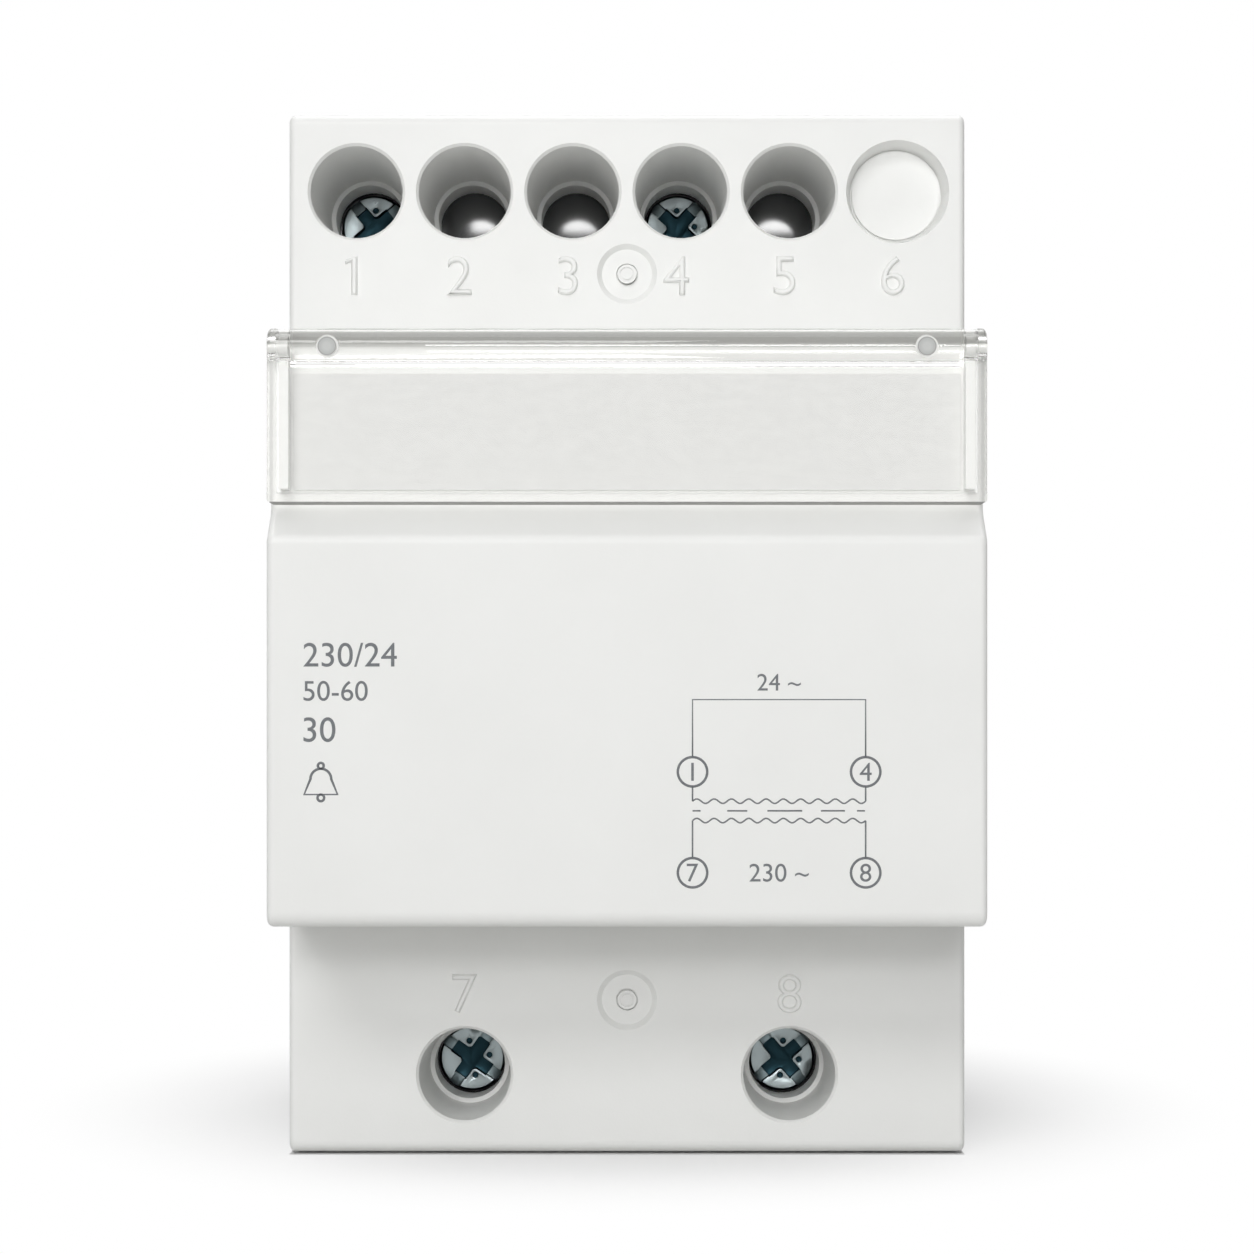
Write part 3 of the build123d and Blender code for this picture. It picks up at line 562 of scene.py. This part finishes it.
def mesh_of(curve):
    """A curve's closed mesh, with doubled vertices merged and normals outwards."""
    holder = bpy.data.objects.new(curve.name, curve)
    scene.collection.objects.link(holder)
    bpy.context.view_layer.update()
    evaluated = holder.evaluated_get(bpy.context.evaluated_depsgraph_get())
    mesh = bpy.data.meshes.new_from_object(evaluated)
    bpy.data.objects.remove(holder)
    bm = bmesh.new()
    bm.from_mesh(mesh)
    bmesh.ops.remove_doubles(bm, verts=bm.verts, dist=outline_merge)
    bmesh.ops.recalc_face_normals(bm, faces=bm.faces)
    bm.to_mesh(mesh)
    bm.free()
    return mesh


def add_spline(curve, points, closed):
    """Adds straight lines through (x, y) points to a curve."""
    spline = curve.splines.new("POLY")
    spline.points.add(len(points) - 1)
    for point, place in zip(spline.points, points):
        point.co = (*place, 0, 1)
    spline.use_cyclic_u = closed


def thicken(curve, thickness, bevel):
    """Gives a flat outline a thickness, with its edges bevelled."""
    curve.fill_mode = "BOTH"
    curve.extrude = thickness / 2 - bevel
    curve.bevel_depth = bevel
    curve.bevel_resolution = 0
    curve.offset = number_outset - bevel if bevel else 0.0


def span(mesh, axis):
    """A mesh's lowest and highest place along an axis."""
    places = [v.co[axis] for v in mesh.vertices]
    return min(places), max(places)


def settle(mesh, thickness, align):
    """Moves a flat mesh to lie on z = 0, level about y = 0 and centred or starting at x = 0."""
    left, right = span(mesh, 0)
    low, high = span(mesh, 1)
    start = (left + right) / 2 if align == "middle" else left
    mesh.transform(Matrix.Translation((-start, -(low + high) / 2, thickness / 2)))
    return mesh


def flat_letters(text, height, thickness, bevel=0.0, align="middle"):
    """Mesh of plain characters of a given height, from 0 up to a thickness."""
    curve = bpy.data.curves.new("letters", "FONT")
    curve.body = text
    curve.size = height
    low, high = span(mesh_of(curve), 1)
    curve.size *= height / (high - low)
    thicken(curve, thickness, bevel)
    return settle(mesh_of(curve), thickness, align)


def numeral_one(height, thickness, bevel):
    """Mesh of the number 1, a stem with a short flag."""
    stem, flag, slant, drop = 0.45 * MM, 0.5 * MM, 0.3 * MM, 0.28 * MM
    points = [
        (0, 0), (stem, 0), (stem, height), (stem / 2, height), (-flag, height - slant),
        (-flag, height - slant - drop), (0, height - slant - drop / 3),
    ]
    curve = bpy.data.curves.new("one", "CURVE")
    curve.dimensions = "2D"
    add_spline(curve, points, closed=True)
    thicken(curve, thickness, bevel)
    return settle(mesh_of(curve), thickness, "middle")


def facing_front(x, front_y, z):
    """Turns a flat mesh to face the viewer and puts it on a face at front_y."""
    return Matrix.Translation((x, front_y, z)) @ Matrix.Rotation(math.pi / 2, 4, "X")


def add_piece(name, mesh, finish, body):
    """Links a finished mesh as a piece that rides on a body."""
    mesh.name = name
    piece = bpy.data.objects.new(name, mesh)
    scene.collection.objects.link(piece)
    wear(piece, finish)
    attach(piece, body)
    return piece


def raised_numbers(moulding):
    """Numbers 1 to 8, raised from the shelves beside their bores.

    They are made thin and then stretched, so that their bevelled sides get steep.
    """
    row_start = first_bore.x + number_shift
    places = [(row_start + place * bore_pitch, upper_number_z) for place in range(upper_places)]
    places += [(x, lower_number_z) for x in lower_bores]
    thickness = 2 * number_relief / number_steepness
    for number, (x, z) in enumerate(places, start=1):
        if number == 1:
            mesh = numeral_one(number_height, thickness, number_bevel)
        else:
            mesh = flat_letters(str(number), number_height, thickness, number_bevel)
        mesh.transform(Matrix.Diagonal((1, 1, number_steepness, 1)))
        mesh.transform(facing_front(x, shelf_face + number_relief, z))
        add_piece(f"raised_number_{number}", mesh, moulding, "housing")


def trim(bm, level, direction):
    """Cuts off what lies beyond a level of y, towards the wall (1) or the viewer (-1)."""
    bmesh.ops.bisect_plane(
        bm, geom=bm.verts[:] + bm.edges[:] + bm.faces[:], plane_co=(0, level, 0),
        plane_no=(0, direction, 0), clear_outer=True,
    )


def close_holes(bm):
    """Closes every opening of a mesh."""
    bmesh.ops.holes_fill(bm, edges=[e for e in bm.edges if e.is_boundary])


def terminal_screw(number, finish):
    """The part's own screw head with eased recess edges, on a shank with a real thread."""
    node = nodes[f"terminal_screw_{number}"]
    low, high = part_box(node.name)
    axis = Vector(((low.x + high.x) / 2, 0, (low.z + high.z) / 2))
    underside = low.y + head_height
    bm = bmesh.new()
    bm.from_mesh(node.data)
    bmesh.ops.remove_doubles(bm, verts=bm.verts, dist=head_merge)
    trim(bm, underside - head_cut, 1)
    close_holes(bm)
    bmesh.ops.dissolve_limit(bm, angle_limit=flat_angle, verts=bm.verts, edges=bm.edges)
    sharp = [e for e in bm.edges if e.calc_face_angle(0) > edge_angle]
    bmesh.ops.bevel(
        bm, geom=sharp, offset=recess_bevel, affect="EDGES", segments=2, profile=0.5, material=-1,
        clamp_overlap=True,
    )
    threaded_shank(bm, axis, underside - head_overlap, high.y)
    mesh = bpy.data.meshes.new(f"screw_{number}")
    bm.to_mesh(mesh)
    bm.free()
    mesh.shade_smooth()
    mesh.set_sharp_from_angle(angle=smooth_angle)
    screw = add_piece(
        f"threaded_screw_{number}", mesh, finish, f"screw_{number}"
    )
    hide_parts(node.name)


def threaded_shank(bm, axis, start_y, end_y):
    """A closed threaded rod about a line along y, added to a mesh."""
    rod = bmesh.new()
    turns = math.ceil((end_y - start_y) / thread_pitch) + 2
    first_y = start_y - thread_pitch
    profile = [
        (thread_root, 0), (thread_crest, thread_pitch * crest_start),
        (thread_crest, thread_pitch * crest_end), (thread_root, thread_pitch),
    ]
    verts = [rod.verts.new((axis.x + radius, first_y + rise, axis.z)) for radius, rise in profile]
    edges = [rod.edges.new(pair) for pair in zip(verts, verts[1:])]
    bmesh.ops.spin(
        rod, geom=verts + edges, cent=axis, axis=(0, 1, 0), angle=2 * math.pi * turns,
        steps=thread_steps * turns, dvec=(0, thread_pitch / thread_steps, 0),
    )
    bmesh.ops.remove_doubles(rod, verts=rod.verts, dist=thread_merge)
    trim(rod, start_y, -1)
    trim(rod, end_y, 1)
    close_holes(rod)
    bmesh.ops.recalc_face_normals(rod, faces=rod.faces)
    mesh = bpy.data.meshes.new("rod")
    rod.to_mesh(mesh)
    rod.free()
    bm.from_mesh(mesh)
    bpy.data.meshes.remove(mesh)


# Print

class InkLines:
    """Printed lines on the nose, drawn as (x, z) places in millimetres and made one flat mesh."""

    def __init__(self, width):
        self.curve = bpy.data.curves.new("ink", "CURVE")
        self.curve.dimensions = "3D"
        self.curve.bevel_depth = width / 2
        self.curve.bevel_resolution = 1
        self.curve.use_fill_caps = True

    def line(self, points, closed=False):
        """Straight lines through points."""
        add_spline(self.curve, [(x * MM, z * MM) for x, z in points], closed)

    def ring(self, x, z, radius, segments=40):
        """A circle about a point."""
        steps = [2 * math.pi * k / segments for k in range(segments)]
        points = [(x + radius * math.cos(a), z + radius * math.sin(a)) for a in steps]
        self.line(points, closed=True)

    def wave(self, x_low, x_high, z, height, waves, samples=10):
        """A wavy line along x."""
        shares = [k / (waves * samples) for k in range(waves * samples + 1)]
        turn = 2 * math.pi * waves
        length = x_high - x_low
        self.line([(x_low + s * length, z + height * math.sin(turn * s)) for s in shares])

    def mesh(self):
        """The lines flattened to a film that lies on the nose."""
        mesh = mesh_of(self.curve)
        mesh.transform(Matrix.Diagonal((1, 1, ink_relief / self.curve.bevel_depth, 1)))
        mesh.transform(facing_front(0, nose_face, 0))
        return mesh


def printed_diagram(ink):
    """A generic two-winding diagram with circled terminal numbers, in millimetres on the nose."""
    left, right = 4.9, 17.85
    middle = (left + right) / 2
    top, upper_ring, lower_ring = -5.45, -10.85, -18.4
    upper_coil, core, lower_coil = -13.05, -13.77, -14.5
    ring = 1.1
    wave_height, waves = 0.17, 10
    core_dashes = ((0, 0.6), (2.6, 1.5), (5.6, 2.6), (9.6, 1.8), (12.3, 0.6))
    lines = InkLines(ink_width)
    over_rings = upper_ring + ring
    lines.line([(left, over_rings), (left, top), (right, top), (right, over_rings)])
    for x in (left, right):
        lines.line([(x, upper_ring - ring), (x, upper_coil)])
    for z in (upper_coil, lower_coil):
        lines.wave(left, right, z, wave_height, waves)
    for x in (left, right):
        lines.line([(x, lower_coil), (x, lower_ring + ring)])
    for start, length in core_dashes:
        lines.line([(left + start, core), (left + start + length, core)])
    add_piece("wiring_diagram", lines.mesh(), ink, "housing")
    rings = InkLines(bold_ink_width)
    for z in (upper_ring, lower_ring):
        for x in (left, right):
            rings.ring(x, z, ring)
    add_piece("diagram_rings", rings.mesh(), ink, "housing")
    circled, text_left = 1.35, -24.2
    # Text, height, x, z and where x is in the text
    marks = [
        ("1", circled, left, upper_ring, "middle"),
        ("4", circled, right, upper_ring, "middle"),
        ("7", circled, left, lower_ring, "middle"),
        ("8", circled, right, lower_ring, "middle"),
        ("24 ~", 1.25, middle, -4.15, "middle"),
        ("230 ~", 1.35, middle, lower_ring, "middle"),
        ("230/24", 1.8, text_left, -2.1, "left"),
        ("50-60", 1.5, text_left, -4.8, "left"),
        ("30", 1.85, text_left, -7.7, "left"),
    ]
    for place, (text, height, x, z, align) in enumerate(marks, start=1):
        mesh = flat_letters(text, height * MM, ink_relief, align=align)
        mesh.transform(facing_front(x * MM, nose_face, z * MM))
        add_piece(f"printed_mark_{place}", mesh, ink, "housing")


def printed_bell(ink):
    """A small bell pictogram in millimetres on the nose: dome, flared skirt, clapper and hanger."""
    x, z = -22.9, -11.6
    dome, skirt, clapper, hanger = 0.78, 1.25, 0.25, 0.22
    dome_z, foot_z = z + 0.2, z - 0.95
    arc_steps, ring_segments = 16, 20
    arc = [math.pi * k / arc_steps for k in range(arc_steps + 1)]
    outline = [(x + skirt, foot_z)]
    outline += [(x + dome * math.cos(a), dome_z + dome * math.sin(a)) for a in arc]
    outline += [(x - skirt, foot_z)]
    lines = InkLines(bold_ink_width)
    lines.line(outline, closed=True)
    lines.ring(x, foot_z - clapper, clapper, ring_segments)
    lines.ring(x, dome_z + dome + hanger, hanger, ring_segments)
    add_piece("bell_pictogram", lines.mesh(), ink, "housing")


# Studio

def studio():
    """Pale floor that fades to white, a white surround, and lamps above, behind and in front."""
    bm = bmesh.new()
    bmesh.ops.create_grid(bm, x_segments=2, y_segments=2, size=floor_size)
    mesh = bpy.data.meshes.new("studio_floor")
    bm.to_mesh(mesh)
    bm.free()
    mesh.transform(Matrix.Translation((0, 0, cad_low.z - floor_gap)))
    floor = bpy.data.objects.new("studio_floor", mesh)
    scene.collection.objects.link(floor)
    wear(floor, floor_finish())
    for name, (place, size, power, mirrored) in lamps.items():
        softbox(name, place, size, power, mirrored)
    surround()


def floor_finish():
    """Pale floor that keeps the shadow, fades to white where seen and throws less light back up."""
    finish, tree, shader = new_finish("pale_floor", {"Roughness": 0.6, "Specular IOR Level": 0.2})
    two_tones(tree, noise(tree, scale=30), shader, (0.825, 0.825, 0.825), (0.845, 0.845, 0.845))
    distance = tree.nodes.new("ShaderNodeVectorMath")
    distance.operation = "LENGTH"
    tree.links.new(place_vector(tree, fade_stretch, fade_shift), distance.inputs[0])
    fade = ranged(tree, distance.outputs["Value"], fade_start, fade_end, kind="SMOOTHSTEP")
    place = axes_of(tree, place_vector(tree))
    beside = maths(tree, "GREATER_THAN", maths(tree, "ABSOLUTE", place["X"]), cad_high.x)
    before = maths(tree, "LESS_THAN", place["Y"], shelf_face)
    clear = maths(tree, "MULTIPLY", fade, maths(tree, "MAXIMUM", beside, before))
    white = tree.nodes.new("ShaderNodeEmission")
    bounce = tree.nodes.new("ShaderNodeBsdfDiffuse")
    bounce.inputs["Color"].default_value = (0.68, 0.68, 0.67, 1)
    shown = blend(tree, clear, shader.outputs["BSDF"], white.outputs["Emission"])
    surface = blend(tree, background_rays(tree), bounce.outputs["BSDF"], shown)
    tree.links.new(surface, tree.nodes["Material Output"].inputs["Surface"])
    return finish


def softbox(name, place, size, power, mirrored):
    """A soft lamp aimed at the part, which gloss and metal may mirror or not."""
    light = bpy.data.lights.new(name, "AREA")
    light.shape = "RECTANGLE"
    light.size, light.size_y = size
    light.energy = power
    lamp = bpy.data.objects.new(name, light)
    scene.collection.objects.link(lamp)
    lamp.location = place
    lamp.rotation_euler = (-Vector(place)).to_track_quat("-Z", "Y").to_euler()
    lamp.visible_camera = False
    lamp.visible_glossy = mirrored


def surround():
    """A white backdrop behind the part in a dimmer room, and a soft light, stronger from above."""
    world = bpy.data.worlds.new("white_surround")
    scene.world = world
    world.use_nodes = True
    tree = world.node_tree
    coordinates = tree.nodes.new("ShaderNodeTexCoord")
    direction = axes_of(tree, coordinates.outputs["Generated"])
    light = sky(tree, ranged(tree, direction["Z"], -1.0, 1.0, light_below, light_above))
    path = tree.nodes.new("ShaderNodeLightPath")
    room = ranged(tree, direction["Y"], room_front, room_back, room_dim, room_bright)
    backdrop = sky(tree, maths(tree, "MAXIMUM", room, path.outputs["Is Camera Ray"]))
    surface = blend(tree, background_rays(tree), light, backdrop)
    tree.links.new(surface, tree.nodes["World Output"].inputs["Surface"])


def sky(tree, strength):
    """A white surround of a given strength."""
    shown = tree.nodes.new("ShaderNodeBackground")
    shown.inputs["Color"].default_value = (1, 1, 1, 1)
    tree.links.new(strength, shown.inputs["Strength"])
    return shown.outputs["Background"]


def camera():
    """Looks straight at the front, with the shift that the photograph's framing needs."""
    lens = bpy.data.cameras.new("front_camera")
    lens.sensor_width = sensor_width
    lens.lens = sensor_width * focal_pixels / photo_pixels
    lens.shift_x = (photo_pixels / 2 - vanishing_x) / photo_pixels
    lens.shift_y = (vanishing_y - photo_pixels / 2) / photo_pixels
    lens.clip_start = camera_near
    eye = bpy.data.objects.new("front_camera", lens)
    scene.collection.objects.link(eye)
    eye.location = (0, -camera_front, camera_z)
    eye.rotation_euler = (math.pi / 2, 0, 0)
    scene.camera = eye


moulding_finish = finish_nodes()
raised_numbers(moulding_finish)
for row_name, numbers in screw_rows.items():
    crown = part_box(f"terminal_screw_{numbers[0]}")[0].y
    zinc = screw_zinc(f"{row_name}_screw_zinc", crown)
    for screw_number in numbers:
        terminal_screw(screw_number, zinc)
ink_finish = grey_ink()
printed_diagram(ink_finish)
printed_bell(ink_finish)
studio()
camera()
scene.view_settings.view_transform = "Standard"
